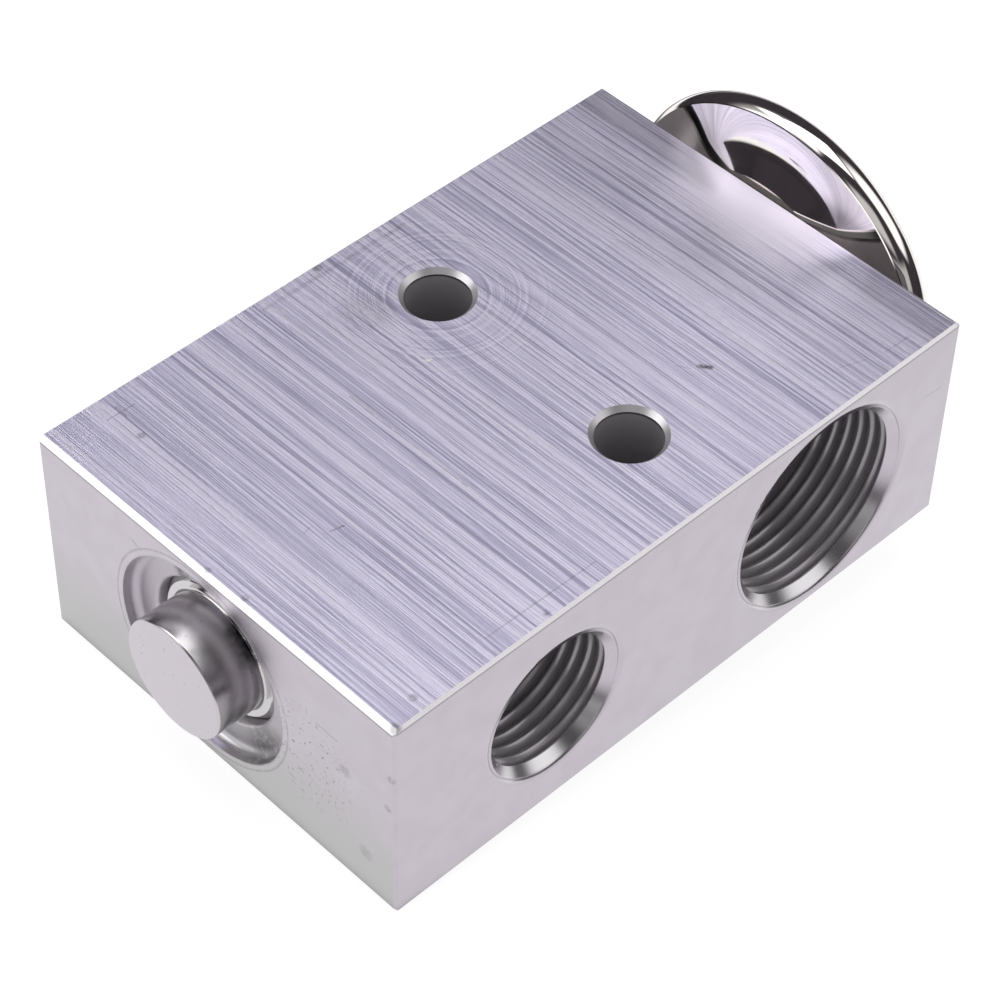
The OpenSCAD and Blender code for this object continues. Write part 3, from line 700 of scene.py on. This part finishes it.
RIM_ROUND = 1.9
RIM_HEIGHT = 3.8
LIP_W = 0.53
FLANGE_HEIGHT = 2.3
FLANGE_W = 2.05
SEAT_R = 13.3
DISH_SLOPE = 27.0
DISH_BEND = 12.0
FLOOR_INSET = 0.3
LOWER_T = 1.2
UPPER_T = 1.0
VALLEY_W = 4.45
VALLEY_DEPTH = 0.6
DOME_SLOPE_W = 6.2
DOME_HEIGHT = 3.6
DIMPLE_DEPTH = 0.9
CHARGE_HOLE_R = 1.2
CORRUGATION = 0.45
TOUCH_GAP = 0.02
GASKET_W = 1.78
NECK_R = (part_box("head_gasket")[1].z - AXIS.z * MM) / MM - GASKET_W
FLOOR_H = 1.43
BOSS_ROOM_R = 6.7

lip_r = HEAD_R - LIP_W
rim_r = HEAD_R - RIM_ROUND


def lower_shell():
    """Polished dish that faces the block, with the neck that screws into it."""
    top = FLANGE_HEIGHT + LOWER_T
    neck_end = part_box("lower_shell")[0].x / MM - BLOCK_HIGH.x
    outline = [(BOSS_ROOM_R, neck_end), (NECK_R - 0.5, neck_end), (NECK_R, neck_end + 0.5),
               (NECK_R, TOUCH_GAP)]
    outline += dish((SEAT_R, TOUCH_GAP), (lip_r - TOUCH_GAP, FLANGE_HEIGHT), DISH_SLOPE, DISH_BEND)
    outline += [(lip_r - TOUCH_GAP, top)]
    outline += s_curve((HEAD_R - FLANGE_W, top), (SEAT_R - FLOOR_INSET, FLOOR_H))
    outline += [(BOSS_ROOM_R, FLOOR_H)]
    shell = lathe("polished_lower_shell", BLOCK_HIGH.x, outline, MATERIALS["head_chrome"], sharp=15)
    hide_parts("lower_shell")
    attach(shell, "valve")


def upper_shell():
    """Polished dome with a valley round it and a rim rolled over the lower shell."""
    top = RIM_HEIGHT + RIM_ROUND
    crown = top + DOME_HEIGHT
    foot_r = HEAD_R - VALLEY_W
    crown_r = foot_r - DOME_SLOPE_W
    dimple_r = CHARGE_HOLE_R + DIMPLE_DEPTH + 0.3
    lip_angle = math.degrees(math.acos((lip_r - rim_r) / RIM_ROUND))
    inside = FLANGE_HEIGHT + LOWER_T + 0.15 + 2 * TOUCH_GAP
    outline = [(CHARGE_HOLE_R, crown - DIMPLE_DEPTH), (dimple_r, crown)]
    outline += s_curve((crown_r, crown), (foot_r, top - VALLEY_DEPTH))
    outline += arc(rim_r, RIM_HEIGHT, RIM_ROUND, 90, -lip_angle, 90)
    outline += [(lip_r, inside), (foot_r - UPPER_T, inside)]
    outline += s_curve((foot_r - UPPER_T, inside + CORRUGATION), (crown_r - UPPER_T, crown - UPPER_T))
    outline += [(dimple_r, crown - UPPER_T), (CHARGE_HOLE_R, crown - DIMPLE_DEPTH - UPPER_T)]
    shell = lathe("polished_upper_shell", BLOCK_HIGH.x, outline, MATERIALS["head_chrome"])
    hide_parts("upper_shell")
    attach(shell, "valve")


lower_shell()
upper_shell()


# Adjusting plug, with depths measured from the plug end of the block

STEM_R = 6.28
STEM_ROUND = 0.25
STEM_FILLET = 0.3
SHOULDER_DEPTH = 2.1
SHOULDER_CHAMFER = 0.6
PLUG_R = 7.8
PLUG_BACK = 12
PLUG_END = PLUG_BACK - 0.02
GROOVE_FROM_END = 1.6
GROOVE_W = 2.2
GROOVE_DEPTH = 1.5
POCKET_R = 4.95
POCKET_DEPTH = 4.5


def adjusting_plug():
    """Plain stem, shoulder, groove for the seal and a pocket for the spring."""
    out = BLOCK_LOW.x - PLUG_TIP_X
    groove = PLUG_BACK - GROOVE_FROM_END - GROOVE_W
    outline = [(0, -out)] + arc(STEM_R - STEM_ROUND, STEM_ROUND - out, STEM_ROUND, -90, 0, 12)
    outline += arc(STEM_R + STEM_FILLET, SHOULDER_DEPTH - STEM_FILLET, STEM_FILLET, 180, 90, 12)
    outline += [(PLUG_R - SHOULDER_CHAMFER, SHOULDER_DEPTH),
                (PLUG_R, SHOULDER_DEPTH + SHOULDER_CHAMFER), (PLUG_R, groove),
                (PLUG_R - GROOVE_DEPTH, groove), (PLUG_R - GROOVE_DEPTH, groove + GROOVE_W),
                (PLUG_R, groove + GROOVE_W), (PLUG_R, PLUG_END), (POCKET_R, PLUG_END),
                (POCKET_R, PLUG_BACK - POCKET_DEPTH), (0, PLUG_BACK - POCKET_DEPTH)]
    plug = lathe("turned_adjusting_plug", BLOCK_LOW.x, outline, MATERIALS["plug_metal"])
    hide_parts("adjusting_plug")
    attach(plug, "valve")


adjusting_plug()


# Threads of the ports

PITCH = 1.411
THREAD_DEPTH = 0.54 * PITCH
# Where the ridge starts, as depth under the face and angle
THREAD_START = 1.05
THREAD_FROM = math.radians(150)
# How deep its foot is sunk in the wall
THREAD_SUNK = 0.4
THREAD_STEPS = 96
HALF_ROOT = PITCH * 0.46
HALF_CREST = PITCH * 0.12
CREST_ROUND = 0.1
COLLAR_LEAN = 0.1
# Turns over which the thread runs out
RUN_OUT = 0.2


def join_rings(bm, rings, closed=False):
    """Faces between each ring of points and the next."""
    following = rings[1:] + rings[:1] if closed else rings[1:]
    for a, b in zip(rings, following):
        for k in range(len(a)):
            m = (k + 1) % len(a)
            bm.faces.new((a[k], a[m], b[m], b[k]))


def ridge(bm, point, turns):
    """Closed solid that winds along the wall and runs out at its inner end."""
    side_of_profile = [(HALF_ROOT, -THREAD_SUNK), (HALF_ROOT, 0.0),
                       (HALF_CREST, THREAD_DEPTH - CREST_ROUND), (0.04, THREAD_DEPTH)]
    profile = side_of_profile + [(-along, height) for along, height in reversed(side_of_profile)]
    rings = []
    for i in range(round(turns * THREAD_STEPS) + 1):
        turn = i / THREAD_STEPS
        rise = min(1.0, (turns - turn) / RUN_OUT)
        middle = THREAD_START + turn * PITCH
        angle = 2 * math.pi * turn + THREAD_FROM
        rings.append([bm.verts.new(point(middle + along, (height + THREAD_SUNK) * rise - THREAD_SUNK,
                                         angle)) for along, height in profile])
    join_rings(bm, rings)
    bm.faces.new(rings[0])
    bm.faces.new(rings[-1])


def collar(bm, point):
    """Closed ring at the mouth, where the first turn is cut off by the bevel."""
    profile = [(THREAD_START + HALF_ROOT, -THREAD_SUNK), (THREAD_START + HALF_ROOT, 0.0),
               (THREAD_START + HALF_CREST, THREAD_DEPTH - CREST_ROUND),
               (THREAD_START, THREAD_DEPTH), (THREAD_START - THREAD_DEPTH - COLLAR_LEAN, 0.0),
               (THREAD_START - THREAD_DEPTH + COLLAR_LEAN, -THREAD_SUNK)]
    steps = [2 * math.pi * i / THREAD_STEPS for i in range(THREAD_STEPS)]
    rings = [[bm.verts.new(point(depth, height, angle)) for depth, height in profile]
             for angle in steps]
    join_rings(bm, rings, closed=True)


def thread(mount):
    """Right-handed thread on the wall of a port."""
    wall_r = mount["dims"]["r_mm"]
    side = mount["axis"][1]
    face_y = BLOCK_HIGH.y if side > 0 else BLOCK_LOW.y
    centre = Vector(mount["pos_m"]) / MM

    def point(depth, height, angle):
        """Place at a depth under the face, that high above the wall."""
        r = wall_r - height
        return metres(centre.x + r * math.cos(angle), face_y - side * depth,
                      centre.z + side * r * math.sin(angle))

    bm = bmesh.new()
    ridge(bm, point, (mount["dims"]["length_mm"] - THREAD_START) / PITCH - 0.5)
    collar(bm, point)
    piece = finish_mesh(mount["name"] + "_thread", bm, MATERIALS["block_alloy"], sharp=50)
    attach(piece, "valve")


for mount in frame["record"]["mounts"]:
    if mount["kind"] == "threaded_hole":
        thread(mount)
